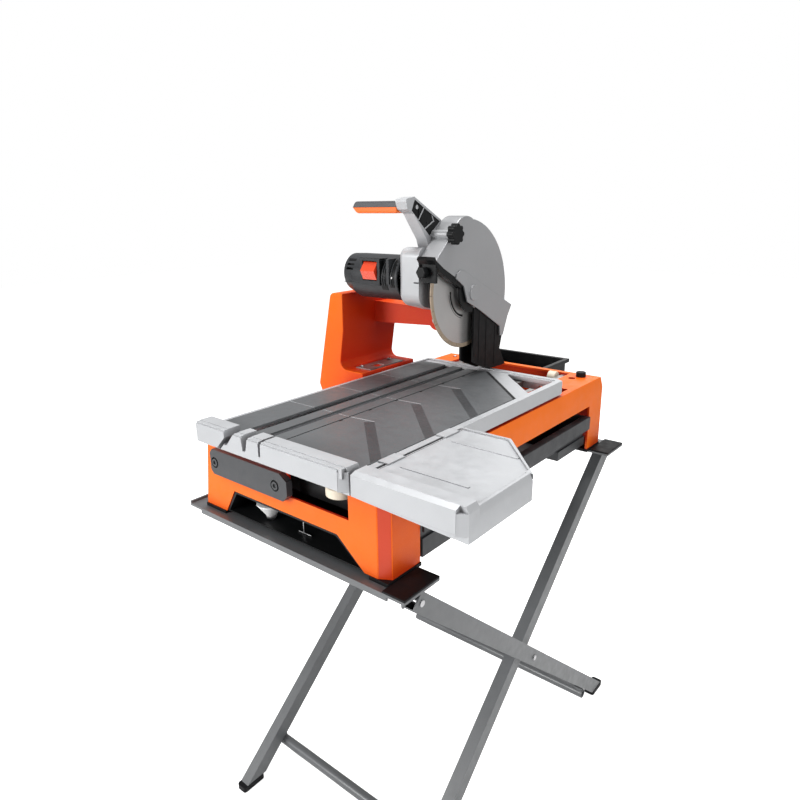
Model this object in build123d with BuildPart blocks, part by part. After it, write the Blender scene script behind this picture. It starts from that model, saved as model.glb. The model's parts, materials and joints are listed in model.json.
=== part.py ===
from build123d import *
from math import atan2, cos, degrees, radians, sin, sqrt
import os

# Portable tile saw on a folding stand. Everything is drawn from one datum, where the blade stands:
# x = 0 is the blade's plane (+x to the operator's right), y = 0 is the front face of the table's
# fence (+y to the rear) and z = 0 is the top of the table mats. write() then sets each piece down
# on the floor, centred under the saw. Millimetres throughout.

# Driving dimensions
TABLE_HEIGHT = 960.0  # table top above the floor
BLADE_R = 127.0
BLADE_Y = 592.0  # blade centre
BLADE_Z = 195.6
BEVEL_X = -82.0  # bevel axis, parallel to y
BEVEL_Z = 120.0
PLUNGE_Y = 760.0  # plunge axis, parallel to x
PLUNGE_Z = 110.0
MOTOR_Y = 499.0  # motor axis, parallel to x
MOTOR_Z = 225.5
MOTOR_R = 49.0
MOTOR_END = -238.0
MOTOR_START = -79.0
FRAME_TOP = -36.0
FRAME_BOTTOM = -205.0
FRAME_FRONT = 75.0
FRAME_REAR = 900.0
FRAME_LEFT = -249.0
FRAME_RIGHT = 208.0
WALL = 5.0
FENCE_LEFT = -175.0
FENCE_RIGHT = 193.0
RAIL_RIGHT = 200.0
RAIL_BOTTOM = -31.0
MAT_FRONT = 35.0
MAT_REAR = 655.0
MAT_PITCH = 138.0
TRAY_REAR = 1062.0
EXT_RIGHT = 403.0
LEG_TOP_Z = -238.0
LEG_FRONT_Y = 105.0
LEG_REAR_Y = 925.0
LEG_DEPTH = 36.0
LEG_END_GAP = 14.0

# The bounding box runs from the motor column to the extension table, and fence to rear tray.
CENTRE_X = (EXT_RIGHT - 329.0) / 2
CENTRE_Y = TRAY_REAR / 2
to_floor = Location((-CENTRE_X, -CENTRE_Y, TABLE_HEIGHT))

os.makedirs("parts", exist_ok=True)


def write(piece, name):
    """Label a finished piece, set it down on the floor and write it."""
    piece.part.label = name
    placed = piece.part.moved(to_floor)
    placed.label = name
    export_step(placed, f"parts/{name}.step")


# Planes: front() faces the operator, side() faces right, level() faces up.
def front(y):
    return Plane(origin=(0, y, 0), x_dir=(1, 0, 0), z_dir=(0, -1, 0))


def side(x):
    return Plane(origin=(x, 0, 0), x_dir=(0, 1, 0), z_dir=(1, 0, 0))


def level(z):
    return Plane.XY.offset(z)


def block(x0, x1, y0, y1, z0, z1, mode=Mode.ADD):
    with Locations((x0, y0, z0)):
        Box(x1 - x0, y1 - y0, z1 - z0, align=(Align.MIN, Align.MIN, Align.MIN), mode=mode)


def prism(plane, points, depth, mode=Mode.ADD):
    """A straight-sided outline pushed along its plane's normal."""
    with BuildSketch(plane) as profile:
        Polygon(*points, align=None)
    extrude(profile.sketch, amount=depth, mode=mode)


def along_x(x0, x1, y, z, r, mode=Mode.ADD):
    with Locations(Location((x0, y, z), (0, 90, 0))):
        Cylinder(r, x1 - x0, align=(Align.CENTER, Align.CENTER, Align.MIN), mode=mode)


def along_y(y0, y1, x, z, r, mode=Mode.ADD):
    with Locations(Location((x, y0, z), (-90, 0, 0))):
        Cylinder(r, y1 - y0, align=(Align.CENTER, Align.CENTER, Align.MIN), mode=mode)


def along_z(z0, z1, x, y, r, mode=Mode.ADD):
    with Locations((x, y, z0)):
        Cylinder(r, z1 - z0, align=(Align.CENTER, Align.CENTER, Align.MIN), mode=mode)


# ---------------------------------------------------------------- frame and what is fixed to it
RIM_LEFT = -192.0
RIM_RIGHT = 126.0
SLOT_TOP = -94.0
POST_FRONT = 160.0
POST_REAR = 830.0
LEFT_FOOT = -280.0
RECESS = (-20.0, 125.0, -119.0)
BEAM_X = (-190.0, 104.0)
BEAM_W = 20.0
ROLLER_R = 15.0
ROLLER_Y = (97.0, 590.0, 866.0)
ROLLER_X = (-168.0, 80.0)
ROLLER_W = 20.0
ROLLER_Z = RAIL_BOTTOM - 0.3 - ROLLER_R
ROLLER_BORE = 5.0

frame_profile = [
    (LEFT_FOOT, FRAME_BOTTOM),
    (FRAME_LEFT - 9, -59),
    (FRAME_LEFT, FRAME_TOP),
    (FRAME_RIGHT - 6, FRAME_TOP),
    (FRAME_RIGHT, -59),
    (FRAME_RIGHT, FRAME_BOTTOM),
]
frame_hollow = [
    (LEFT_FOOT + WALL, FRAME_BOTTOM - 1),
    (FRAME_LEFT - 9 + WALL, -60),
    (FRAME_LEFT + WALL, FRAME_TOP - WALL),
    (FRAME_RIGHT - 6 - WALL, FRAME_TOP - WALL),
    (FRAME_RIGHT - WALL, -60),
    (FRAME_RIGHT - WALL, FRAME_BOTTOM - 1),
]
front_opening = [(-185, -154), (96, -154), (158, FRAME_BOTTOM - 1), (-216, FRAME_BOTTOM - 1)]

with BuildPart() as base_frame:
    prism(front(FRAME_FRONT), frame_profile, FRAME_FRONT - FRAME_REAR)
    prism(level(FRAME_BOTTOM - 1), [(186, 74), (186, 75), (208, 88), (209, 88), (209, 74)], 200, Mode.SUBTRACT)
    prism(front(FRAME_FRONT + WALL), frame_hollow, FRAME_FRONT - FRAME_REAR + 2 * WALL, Mode.SUBTRACT)
    block(RIM_LEFT, RIM_RIGHT, 105, 884, FRAME_TOP - 6, FRAME_TOP + 1, Mode.SUBTRACT)
    block(-172, -144, 81, 106, FRAME_TOP - 6, FRAME_TOP + 1, Mode.SUBTRACT)
    # front recess under the table, front opening, side slots over the pan
    block(*RECESS[:2], FRAME_FRONT - 1, 106, RECESS[2], FRAME_TOP + 1, Mode.SUBTRACT)
    prism(front(FRAME_FRONT - 1), front_opening, -WALL - 2, Mode.SUBTRACT)
    block(190, 220, POST_FRONT, POST_REAR, FRAME_BOTTOM - 1, SLOT_TOP, Mode.SUBTRACT)
    block(-290, -240, POST_FRONT, POST_REAR, FRAME_BOTTOM - 1, SLOT_TOP, Mode.SUBTRACT)
    # square pocket and two round holes in the right rim
    block(163, 187, 716, 748, FRAME_TOP - 6, FRAME_TOP + 1, Mode.SUBTRACT)
    along_z(FRAME_TOP - 6, FRAME_TOP + 1, 150, 846, 9, Mode.SUBTRACT)
    along_z(FRAME_TOP - 6, FRAME_TOP + 1, 161, 874, 9, Mode.SUBTRACT)
    # wall behind the cut front right corner
    prism(level(FRAME_BOTTOM), [(182, 75), (186, 75), (208, 88), (208, 96), (203, 96), (182, 82)], -59 - FRAME_BOTTOM)
    prism(level(-59), [(182, 75), (186, 75), (202, 84.4), (202, 96), (182, 82)], FRAME_TOP + 59)
write(base_frame, "base_frame")

with BuildPart() as rim_stopper:
    along_z(FRAME_TOP - 6, FRAME_TOP, 161, 874, 8.8)
    along_z(FRAME_TOP, FRAME_TOP + 12, 161, 874, 12)
    fillet(rim_stopper.faces().sort_by(Axis.Z)[-1].edges(), 2)
write(rim_stopper, "rim_stopper")

# black moulded liner of the front opening, closed at its back
liner_outer = [(-184, -155), (95, -155), (155, FRAME_BOTTOM + 1), (-213, FRAME_BOTTOM + 1)]
liner_inner = [(-180, -159), (92, -159), (148, FRAME_BOTTOM + 4), (-207, FRAME_BOTTOM + 4)]
with BuildPart() as front_liner:
    prism(front(FRAME_FRONT + 1), liner_outer, -80)
    prism(front(FRAME_FRONT), liner_inner, -78, Mode.SUBTRACT)
write(front_liner, "front_liner")

# water pan: shallow tub with a rolled rim that shows in the side slots, and two sumps
PAN_TOP = -118.0
PAN_FLOOR = -168.0
SUMPS = ((172, 300, -204), (680, 820, -190))
with BuildPart() as water_pan:
    block(-238, 213, POST_FRONT + 4, POST_REAR - 4, PAN_TOP - 6, PAN_TOP)
    block(208.5, 214, POST_FRONT + 4, POST_REAR - 4, PAN_TOP - 32, PAN_TOP)
    block(-232, 200, POST_FRONT + 8, POST_REAR - 8, PAN_FLOOR, PAN_TOP - 6)
    for sump_front, sump_rear, sump_floor in SUMPS:
        block(60, 204, sump_front, sump_rear, sump_floor, PAN_FLOOR)
    block(-228, 196, POST_FRONT + 12, POST_REAR - 12, PAN_FLOOR + 4, PAN_TOP + 1, Mode.SUBTRACT)
    for sump_front, sump_rear, sump_floor in SUMPS:
        block(64, 196, sump_front + 4, sump_rear - 4, sump_floor + 4, PAN_FLOOR + 5, Mode.SUBTRACT)
    along_z(-205, PAN_FLOOR, 130, 236, 12.05, Mode.SUBTRACT)
write(water_pan, "water_pan")

with BuildPart() as drain_plug:
    along_z(-204, -199, 130, 236, 12)
    along_z(-210, -204, 130, 236, 17)
    along_z(-214, -210, 130, 236, 7)
write(drain_plug, "drain_plug")

# submersible pump standing in the rear sump
with BuildPart() as water_pump:
    block(96, 156, 715, 785, -186, -136)
    fillet(water_pump.edges().filter_by(Axis.Z), 8)
    along_z(-136, -118, 126, 750, 9)
    along_z(-130, -117, 126, 750, 6, Mode.SUBTRACT)
write(water_pump, "water_pump")

# rear tray: deep open box with an out-turned lip, hung on the frame's rear wall
with BuildPart() as rear_tray:
    block(-196, 34, 902, 1054, -116, -48)
    block(-204, 42, FRAME_REAR, TRAY_REAR, -48, -42)
    block(-192, 30, 906, 1050, -112, -41, Mode.SUBTRACT)
    block(-204, 42, FRAME_REAR, TRAY_REAR, -52, -48)
    block(-201, 39, 903, 1059, -53, -48, Mode.SUBTRACT)
    block(-196, 34, 902, 1054, -60, -48)
    block(-192, 30, 906, 1050, -61, -41, Mode.SUBTRACT)
    block(-192, 30, 1010, 1018, -112, -98)
write(rear_tray, "rear_tray")

# guide beams inside the rim carry the roller axles
with BuildPart() as guide_beams:
    for beam_x in BEAM_X:
        block(beam_x, beam_x + BEAM_W, 82, 894, -72, FRAME_TOP - WALL)
        block(beam_x + 3, beam_x + BEAM_W - 3, 81, 895, -69, FRAME_TOP - WALL - 3, Mode.SUBTRACT)
write(guide_beams, "guide_beams")

with BuildPart() as roller_axles:
    for axle_y in ROLLER_Y:
        along_x(-170, -145, axle_y, ROLLER_Z, ROLLER_BORE - 0.05)
        along_x(79, 104, axle_y, ROLLER_Z, ROLLER_BORE - 0.05)
write(roller_axles, "roller_axles")


def roller_pair(y):
    for roller_x in ROLLER_X:
        along_x(roller_x, roller_x + ROLLER_W, y, ROLLER_Z, ROLLER_R)
        along_x(roller_x - 1, roller_x + ROLLER_W + 1, y, ROLLER_Z, ROLLER_BORE, Mode.SUBTRACT)


with BuildPart() as roller_front:
    roller_pair(ROLLER_Y[0])
write(roller_front, "roller_front")

with BuildPart() as roller_middle:
    roller_pair(ROLLER_Y[1])
write(roller_middle, "roller_middle")

with BuildPart() as roller_rear:
    roller_pair(ROLLER_Y[2])
write(roller_rear, "roller_rear")

# dark bar bolted across the front, under the fence
with BuildPart() as front_plate:
    prism(front(FRAME_FRONT), [(-236, -80), (-228, -72), (-30, -72), (-12, -84), (-12, -112), (-24, -124),
                               (-228, -124), (-236, -116)], 13)
    for bolt_x in (-222, -44):
        along_y(FRAME_FRONT - 14, FRAME_FRONT - 8, bolt_x, -99, 11, Mode.SUBTRACT)
        along_y(FRAME_FRONT - 9, FRAME_FRONT + 1, bolt_x, -99, 4.1, Mode.SUBTRACT)
write(front_plate, "front_plate")

with BuildPart() as front_plate_bolts:
    for bolt_x in (-222, -44):
        along_y(FRAME_FRONT - 14, FRAME_FRONT - 8, bolt_x, -99, 8)
        along_y(FRAME_FRONT - 15, FRAME_FRONT - 11, bolt_x, -99, 4, Mode.SUBTRACT)
        along_y(FRAME_FRONT - 8, FRAME_FRONT, bolt_x, -99, 4)
write(front_plate_bolts, "front_plate_bolts")

# black rubber shoes under the four frame posts, and pads on the right ends of the stand bars
SHOE_BOTTOM = FRAME_BOTTOM - 7
BAR_RIGHT = 257.0
FRONT_BAR = (57.0, 150.0)
REAR_BAR = (845.0, 938.0)
with BuildPart() as rubber_pads:
    for shoe_x0, shoe_x1 in ((LEFT_FOOT - 2, LEFT_FOOT + 62), (FRAME_RIGHT - 40, FRAME_RIGHT + 2)):
        for shoe_y0, shoe_y1 in ((FRAME_FRONT - 2, POST_FRONT + 2), (POST_REAR - 2, FRAME_REAR + 2)):
            block(shoe_x0, shoe_x1, shoe_y0, shoe_y1, SHOE_BOTTOM, FRAME_BOTTOM)
    for bar_y0, bar_y1 in (FRONT_BAR, REAR_BAR):
        block(FRAME_RIGHT + 2.5, BAR_RIGHT, bar_y0, bar_y1, SHOE_BOTTOM, SHOE_BOTTOM + 4)
write(rubber_pads, "rubber_pads")

# ---------------------------------------------------------------- column and arm
COLUMN_FRONT = 450.0
COLUMN_REAR = 640.0
COLUMN_TOP = 185.0
COLUMN_INNER = -241.0
FOOT_TOP = 6.0
FOOT_RIGHT = -183.0
column_outline = [
    (-329.4, -40), (-306, -92), (-264, -92), (FRAME_LEFT - 9.5, -58), (FRAME_LEFT - 1, FRAME_TOP),
    (FOOT_RIGHT, FRAME_TOP), (FOOT_RIGHT, FOOT_TOP), (-256, FOOT_TOP), (COLUMN_INNER, 100),
    (COLUMN_INNER, COLUMN_TOP), (-279, COLUMN_TOP),
]
column_core = [
    (-322, -36), (-303, -85), (-266, -85), (FRAME_LEFT - 1, FRAME_TOP - 0.5), (FRAME_LEFT + 4, FRAME_TOP - 0.5),
    (FOOT_RIGHT - WALL, FRAME_TOP - 0.5), (FOOT_RIGHT - WALL, FOOT_TOP - WALL), (-262, FOOT_TOP - WALL),
    (COLUMN_INNER - WALL, 100), (COLUMN_INNER - WALL, COLUMN_TOP - WALL), (-275, COLUMN_TOP - WALL),
]
with BuildPart() as column:
    with BuildSketch(front(COLUMN_FRONT)):
        Polygon(*column_outline, align=None)
        fillet([v for v in vertices() if abs(v.Y - FOOT_TOP) < 1 and abs(v.X + 256) < 1], 18)
        fillet(vertices().group_by(Axis.Y)[-1].sort_by(Axis.X)[0], 14)
        fillet(vertices().sort_by(Axis.X)[0], 8)
    extrude(amount=COLUMN_FRONT - COLUMN_REAR)
    prism(front(COLUMN_FRONT + WALL), column_core, COLUMN_FRONT - COLUMN_REAR + 2 * WALL, Mode.SUBTRACT)
write(column, "column")

# the arm slants rearward and thins toward the bevel pivot
ARM_ROOT = (563.0, 639.0)
ARM_TIP = (604.0, 660.0)
arm_plan = [(COLUMN_INNER, ARM_ROOT[0]), (BEVEL_X, ARM_TIP[0]), (BEVEL_X, ARM_TIP[1]), (COLUMN_INNER, ARM_ROOT[1])]
arm_core = [(COLUMN_INNER - 1, ARM_ROOT[0] + WALL), (BEVEL_X - 26, ARM_TIP[0] - 3), (BEVEL_X - 26, ARM_TIP[1] - 4),
            (COLUMN_INNER - 1, ARM_ROOT[1] - WALL)]
BOSS_R = 25.0
LEVER_X = -93.0
LEVER_Y = 630.0
LEVER_Z = BEVEL_Z + BOSS_R
with BuildPart() as arm:
    prism(level(105), arm_plan, 51)
    prism(front(500), [(COLUMN_INNER - 1, 157), (BEVEL_X - 20, 145), (0, 145), (0, 170), (COLUMN_INNER - 1, 170)], -200,
          Mode.SUBTRACT)
    prism(front(500), [(COLUMN_INNER - 1, 104), (COLUMN_INNER - 1, 106), (BEVEL_X, 96), (0, 96), (0, 90)], -200,
          Mode.SUBTRACT)
    prism(level(110), arm_core, 30, Mode.SUBTRACT)
    along_y(ARM_TIP[0] - 4, ARM_TIP[1] + 4, BEVEL_X, BEVEL_Z, BOSS_R)
    along_y(ARM_TIP[0] - 5, ARM_TIP[1] + 5, BEVEL_X, BEVEL_Z, 8.05, Mode.SUBTRACT)
    along_z(LEVER_Z - 9, LEVER_Z + 1, LEVER_X, LEVER_Y, 4, Mode.SUBTRACT)
write(arm, "arm")

# flat steel cover plate on the column's foot, with a square cut-out
with BuildPart() as foot_plate:
    block(-232, FOOT_RIGHT - 3, 480, 600, FOOT_TOP, FOOT_TOP + 3)
    block(-215, -193, 512, 540, FOOT_TOP - 1, FOOT_TOP + 4, Mode.SUBTRACT)
write(foot_plate, "foot_plate")

# ---------------------------------------------------------------- table
DECK_TOP = -4.0
MAT_LEFT = -168.0
MAT_RIGHT = 185.0
GROOVES = ((-95.0, -73.0), (-45.0, -30.0), (-1.5, 1.5))
TABLE_REAR = 697.0
CORNER_A = (30.0, 655.0)
CORNER_B = (185.0, 506.0)
JOINT_W = 2.0

with BuildPart() as table_frame:
    prism(level(DECK_TOP - 10), [(-178, MAT_FRONT), (RAIL_RIGHT, MAT_FRONT), (RAIL_RIGHT, TABLE_REAR - 8),
                                 (RAIL_RIGHT - 14, TABLE_REAR), (-178, TABLE_REAR)], 10)
    block(MAT_RIGHT + 1, RAIL_RIGHT, MAT_FRONT, TABLE_REAR - 14, RAIL_BOTTOM, -1)
    block(-178, -170, MAT_FRONT, TABLE_REAR, RAIL_BOTTOM, -1)
    block(-178, RAIL_RIGHT - 14, TABLE_REAR - 12, TABLE_REAR, RAIL_BOTTOM, -1)
    prism(level(RAIL_BOTTOM), [(RAIL_RIGHT - 15, TABLE_REAR - 15), (RAIL_RIGHT, TABLE_REAR - 15),
                               (RAIL_RIGHT, TABLE_REAR - 9), (RAIL_RIGHT - 14, TABLE_REAR),
                               (RAIL_RIGHT - 15, TABLE_REAR)], -1 - RAIL_BOTTOM)
    # notch in the rear rail that clears the rim's stopper
    block(144, 178, TABLE_REAR - 13, TABLE_REAR + 1, RAIL_BOTTOM - 1, -21, Mode.SUBTRACT)
    # bar along the cut corner of the mats
    prism(level(DECK_TOP - 10), [(31.5, 656.5), (187, 507), (187, 519), (43, 657.5)], 12)
    # rear triangular pocket behind the cut corner
    prism(level(DECK_TOP - 11), [(70, 672), (181, 566), (181, 680), (70, 680)], 13, Mode.SUBTRACT)
    # blade slots through the deck
    for groove_left, groove_right in GROOVES:
        block(groove_left, groove_right, MAT_FRONT - 1, MAT_REAR + 2, DECK_TOP - 7, DECK_TOP + 1, Mode.SUBTRACT)
    # slanted slot for the blade at 45 degrees, open through the deck
    prism(front(MAT_FRONT - 1), [(-95, DECK_TOP), (-107, DECK_TOP - 11), (-93, DECK_TOP - 11), (-80, DECK_TOP)],
          MAT_FRONT - MAT_REAR - 3, Mode.SUBTRACT)
    # pockets in the right rail for the extension's hooks
    for hook_y in (80, 230):
        block(188, 194, hook_y - 1, hook_y + 41, -16, 0, Mode.SUBTRACT)
write(table_frame, "table_frame")

with BuildPart() as table_runners:
    block(-170, -142, MAT_FRONT + 2, TABLE_REAR - 13, RAIL_BOTTOM, DECK_TOP - 10)
    block(76, 104, MAT_FRONT + 2, TABLE_REAR - 13, RAIL_BOTTOM, DECK_TOP - 10)
    block(-166, -146, MAT_FRONT + 1, TABLE_REAR - 12, RAIL_BOTTOM + 4, DECK_TOP - 13, Mode.SUBTRACT)
    block(80, 100, MAT_FRONT + 1, TABLE_REAR - 12, RAIL_BOTTOM + 4, DECK_TOP - 13, Mode.SUBTRACT)
    block(60, 110, 566, 690, DECK_TOP - 12, DECK_TOP - 9, Mode.SUBTRACT)
write(table_runners, "table_runners")

FENCE_TOP = 13.0
with BuildPart() as fence:
    prism(front(MAT_FRONT), [(FENCE_LEFT, RAIL_BOTTOM), (FENCE_LEFT, FENCE_TOP), (FENCE_RIGHT - 4, FENCE_TOP),
                             (FENCE_RIGHT, FENCE_TOP - 10), (FENCE_RIGHT, RAIL_BOTTOM)], MAT_FRONT - 10)
    block(FENCE_LEFT, FENCE_RIGHT - 6, 2, 11, -4, FENCE_TOP - 1)
    prism(side(FENCE_LEFT), [(10.5, FENCE_TOP - 1), (0, FENCE_TOP - 4), (0, -24), (10.5, RAIL_BOTTOM)],
          FENCE_RIGHT - FENCE_LEFT - 14)
    prism(level(-26), [(FENCE_RIGHT - 15, 0), (FENCE_RIGHT, 10), (FENCE_RIGHT, 12), (FENCE_RIGHT - 15, 12)], 32)
    # notches that clear the blade upright, at 22.5 degrees and at 45 degrees
    prism(front(MAT_FRONT + 1), [(-2, 14), (-2, -14), (2.4, -14), (4.5, 14)], MAT_FRONT + 3, Mode.SUBTRACT)
    prism(front(MAT_FRONT + 1), [(-47, 14), (-43.5, -14), (-36, -14), (-29, 14)], MAT_FRONT + 3, Mode.SUBTRACT)
    prism(front(MAT_FRONT + 1), [(-93, 14), (-93, -14), (-88, -14), (-64, 14)], MAT_FRONT + 3, Mode.SUBTRACT)
    prism(front(MAT_FRONT + 1), [(-88, 4), (-121, -29.2), (-111, -29.2), (-78, 4)], MAT_FRONT + 3, Mode.SUBTRACT)
write(fence, "fence")


def joint_grooves(x0, x1):
    """Cross joints every pitch, shallow."""
    for i in (1, 2, 3):
        y = MAT_FRONT + 42 + i * MAT_PITCH
        block(x0, x1, y - JOINT_W / 2, y + JOINT_W / 2, -1.2, 0.1, Mode.SUBTRACT)


with BuildPart() as mats_left:
    block(MAT_LEFT, GROOVES[0][0], MAT_FRONT + 0.5, MAT_REAR, DECK_TOP, 0)
    block(GROOVES[0][1], GROOVES[1][0], MAT_FRONT + 0.5, MAT_REAR, DECK_TOP, 0)
    block(GROOVES[1][1], GROOVES[2][0], MAT_FRONT + 0.5, MAT_REAR, DECK_TOP, 0)
    joint_grooves(MAT_LEFT - 1, GROOVES[2][0] + 1)
write(mats_left, "mats_left")

with BuildPart() as mat_right:
    prism(level(DECK_TOP), [(GROOVES[2][1], MAT_FRONT + 0.5), (MAT_RIGHT, MAT_FRONT + 0.5), CORNER_B, CORNER_A,
                            (GROOVES[2][1], MAT_REAR)], -DECK_TOP)
    # recessed bands bent like a hockey stick, one at each joint
    for i in (1, 2, 3):
        y = MAT_FRONT + 43 + i * MAT_PITCH
        prism(level(-0.8), [(2, y), (58, y + 2), (188, y - 126), (188, y - 150), (51, y - 10), (48, y - 3), (2, y - 2)],
              1, Mode.SUBTRACT)
write(mat_right, "mat_right")

# ---------------------------------------------------------------- extension table (lifts off)
EXT_LEFT = 206.0
EXT_REAR = 288.0
EXT_CORNER = ((302.0, 288.0), (EXT_RIGHT, 177.0))
with BuildPart() as extension_deck:
    prism(level(-6), [(EXT_LEFT, MAT_FRONT), (389, MAT_FRONT), (389, 190), (301, EXT_REAR - 1), (EXT_LEFT, EXT_REAR - 1)],
          5)
    prism(level(-6), [(389, 178), (402.5, 178), EXT_CORNER[0], (EXT_LEFT, EXT_REAR), (EXT_LEFT, EXT_REAR - 5),
                      (299, EXT_REAR - 5), (389, 188)], 8)
    block(EXT_LEFT, EXT_LEFT + 4, MAT_FRONT, EXT_REAR, -28, -1)
    for rib_y in (84, 221):
        block(EXT_LEFT + 22, 352, rib_y, rib_y + 5, -1, 0.2)
        block(EXT_LEFT + 4, 352, rib_y, rib_y + 4, -20, -6)
    for hook_y in (80, 230):
        block(EXT_LEFT, EXT_LEFT + 4, hook_y, hook_y + 40, -1, 1.6)
        block(188.6, EXT_LEFT + 4, hook_y, hook_y + 40, -0.9, 1.6)
        block(188.6, 191.6, hook_y, hook_y + 40, -14, 0)
write(extension_deck, "extension_deck")

with BuildPart() as extension_frame:
    prism(front(MAT_FRONT), [(EXT_LEFT, RAIL_BOTTOM), (EXT_LEFT, FENCE_TOP), (EXT_RIGHT - 5, FENCE_TOP),
                             (EXT_RIGHT, FENCE_TOP - 10), (EXT_RIGHT, RAIL_BOTTOM - 8), (EXT_RIGHT - 6, RAIL_BOTTOM - 8)],
          MAT_FRONT - 10)
    prism(side(EXT_LEFT), [(10.5, FENCE_TOP), (0, FENCE_TOP - 4), (0, -24), (10.5, RAIL_BOTTOM)],
          EXT_RIGHT - EXT_LEFT - 14)
    prism(level(-28), [(EXT_RIGHT - 15, 0), (EXT_RIGHT, 10), (EXT_RIGHT, 12), (EXT_RIGHT - 15, 12)], 32)
    with BuildSketch(front(MAT_FRONT)):
        Polygon((389.5, -36), (389.5, -1), (392, 3), (398, 3), (EXT_RIGHT, -8), (EXT_RIGHT, -39), (397, -39), align=None)
        fillet(vertices().sort_by(Axis.Y)[-1], 3)
    extrude(amount=-(177 - MAT_FRONT))
write(extension_frame, "extension_frame")

# ---------------------------------------------------------------- bevel bracket and its lock
EAR_Y = PLUNGE_Y
EAR_R = 20.0
TILT_FRONT = ARM_TIP[1] + 4.3
EARS = ((-112.0, -100.0), (-96.0 + 13, -70.0))
PIN_R = 8.0
with BuildPart() as tilt_bracket:
    along_y(TILT_FRONT, TILT_FRONT + 16, BEVEL_X, BEVEL_Z, 27)
    block(-114, -97, TILT_FRONT + 2, TILT_FRONT + 30, 94, 140)
    for ear_x0, ear_x1 in EARS:
        prism(side(ear_x0), [(TILT_FRONT + 14, 94), (EAR_Y, 91), (EAR_Y, 129), (TILT_FRONT + 14, 140)], ear_x1 - ear_x0)
        along_x(ear_x0, ear_x1, EAR_Y, PLUNGE_Z, EAR_R)
        along_x(ear_x0 - 1, ear_x1 + 1, EAR_Y, PLUNGE_Z, PIN_R, Mode.SUBTRACT)
    block(-67.5, -50, TILT_FRONT - 1, TILT_FRONT + 17, 90, 150, Mode.SUBTRACT)
    along_y(TILT_FRONT - 1, TILT_FRONT + 40, BEVEL_X, BEVEL_Z, 8.05, Mode.SUBTRACT)
    along_y(TILT_FRONT + 16, TILT_FRONT + 34, BEVEL_X, BEVEL_Z, 14, Mode.SUBTRACT)
write(tilt_bracket, "tilt_bracket")

with BuildPart() as tilt_bolt:
    along_y(ARM_TIP[0] - 2, TILT_FRONT + 17, BEVEL_X, BEVEL_Z, 8)
    along_y(TILT_FRONT + 16, TILT_FRONT + 26, BEVEL_X, BEVEL_Z, 13)
write(tilt_bolt, "tilt_bolt")

# clamp lever on top of the arm's boss
with BuildPart() as tilt_lock_lever:
    along_z(LEVER_Z - 8, LEVER_Z, LEVER_X, LEVER_Y, 3.95)
    along_z(LEVER_Z, LEVER_Z + 12, LEVER_X, LEVER_Y, 8.5)
    prism(level(LEVER_Z + 7), [(LEVER_X, LEVER_Y - 5), (LEVER_X, LEVER_Y + 5), (-144, LEVER_Y + 6), (-149, LEVER_Y + 2),
                               (-149, LEVER_Y - 2), (-144, LEVER_Y - 6)], 5)
write(tilt_lock_lever, "tilt_lock_lever")

with BuildPart() as plunge_pin:
    along_x(-114, -58.5, PLUNGE_Y, PLUNGE_Z, PIN_R - 0.05)
    along_x(-118, -114, PLUNGE_Y, PLUNGE_Z, 13)
write(plunge_pin, "plunge_pin")

# ---------------------------------------------------------------- head
CASE_LEFT = -78.0
CASE_RIGHT = -23.0
CASE_FRONT = 456.0
CASE_TOP = 294.5
ARBOR_SIDE = -55.5
ARBOR_BOSS_R = 38.0


def case_body():
    """Side view of the gear case's rounded body."""
    Polygon((CASE_FRONT, 176), (CASE_FRONT, CASE_TOP), (578, CASE_TOP - 8), (578, 158), (528, 156), align=None)
    fillet([v for v in vertices() if v.X < CASE_FRONT + 1 and v.Y > CASE_TOP - 1], 20)
    fillet([v for v in vertices() if v.X < CASE_FRONT + 1 and v.Y < 177], 28)


def arbor_boss(wall):
    """Side view of the round boss behind the body."""
    with Locations((BLADE_Y, BLADE_Z)):
        Circle(ARBOR_BOSS_R - wall)
    Polygon((560, CASE_TOP - 40 - wall), (BLADE_Y + 8, BLADE_Z + 37 - wall), (BLADE_Y + 4, BLADE_Z - 37.5 + wall),
            (560, 158 + wall), align=None)


with BuildPart() as gear_case:
    with BuildSketch(side(CASE_LEFT)):
        case_body()
    extrude(amount=CASE_RIGHT - 3 - CASE_LEFT)
    fillet(gear_case.faces().sort_by(Axis.X)[0].edges(), 12)
    with BuildSketch(side(ARBOR_SIDE)):
        arbor_boss(0)
    extrude(amount=CASE_RIGHT - 3 - ARBOR_SIDE)
    # swing arm back to the plunge pin
    prism(side(ARBOR_SIDE), [(BLADE_Y + 12, BLADE_Z + 30), (PLUNGE_Y + 6, PLUNGE_Z + 17),
                             (PLUNGE_Y - 8, PLUNGE_Z - 17), (BLADE_Y + 30, BLADE_Z - 22)], 26)
    along_x(-69.5, -30, PLUNGE_Y, PLUNGE_Z, 20)
    with BuildSketch(side(CASE_LEFT + 5)):
        case_body()
        offset(amount=-6)
    extrude(amount=CASE_RIGHT - CASE_LEFT, mode=Mode.SUBTRACT)
    with BuildSketch(side(ARBOR_SIDE + 3)):
        arbor_boss(4)
    extrude(amount=CASE_RIGHT - ARBOR_SIDE, mode=Mode.SUBTRACT)
    along_x(CASE_LEFT - 1, CASE_LEFT + 8, MOTOR_Y, MOTOR_Z, 11.1, Mode.SUBTRACT)
    along_x(-70, -57, PLUNGE_Y, PLUNGE_Z, PIN_R, Mode.SUBTRACT)
write(gear_case, "gear_case")

with BuildPart() as case_cover:
    with BuildSketch(side(CASE_RIGHT - 3)):
        case_body()
        arbor_boss(0)
    extrude(amount=3)
    along_x(CASE_RIGHT - 4, CASE_RIGHT + 1, BLADE_Y, BLADE_Z, 10.1, Mode.SUBTRACT)
write(case_cover, "case_cover")

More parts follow.
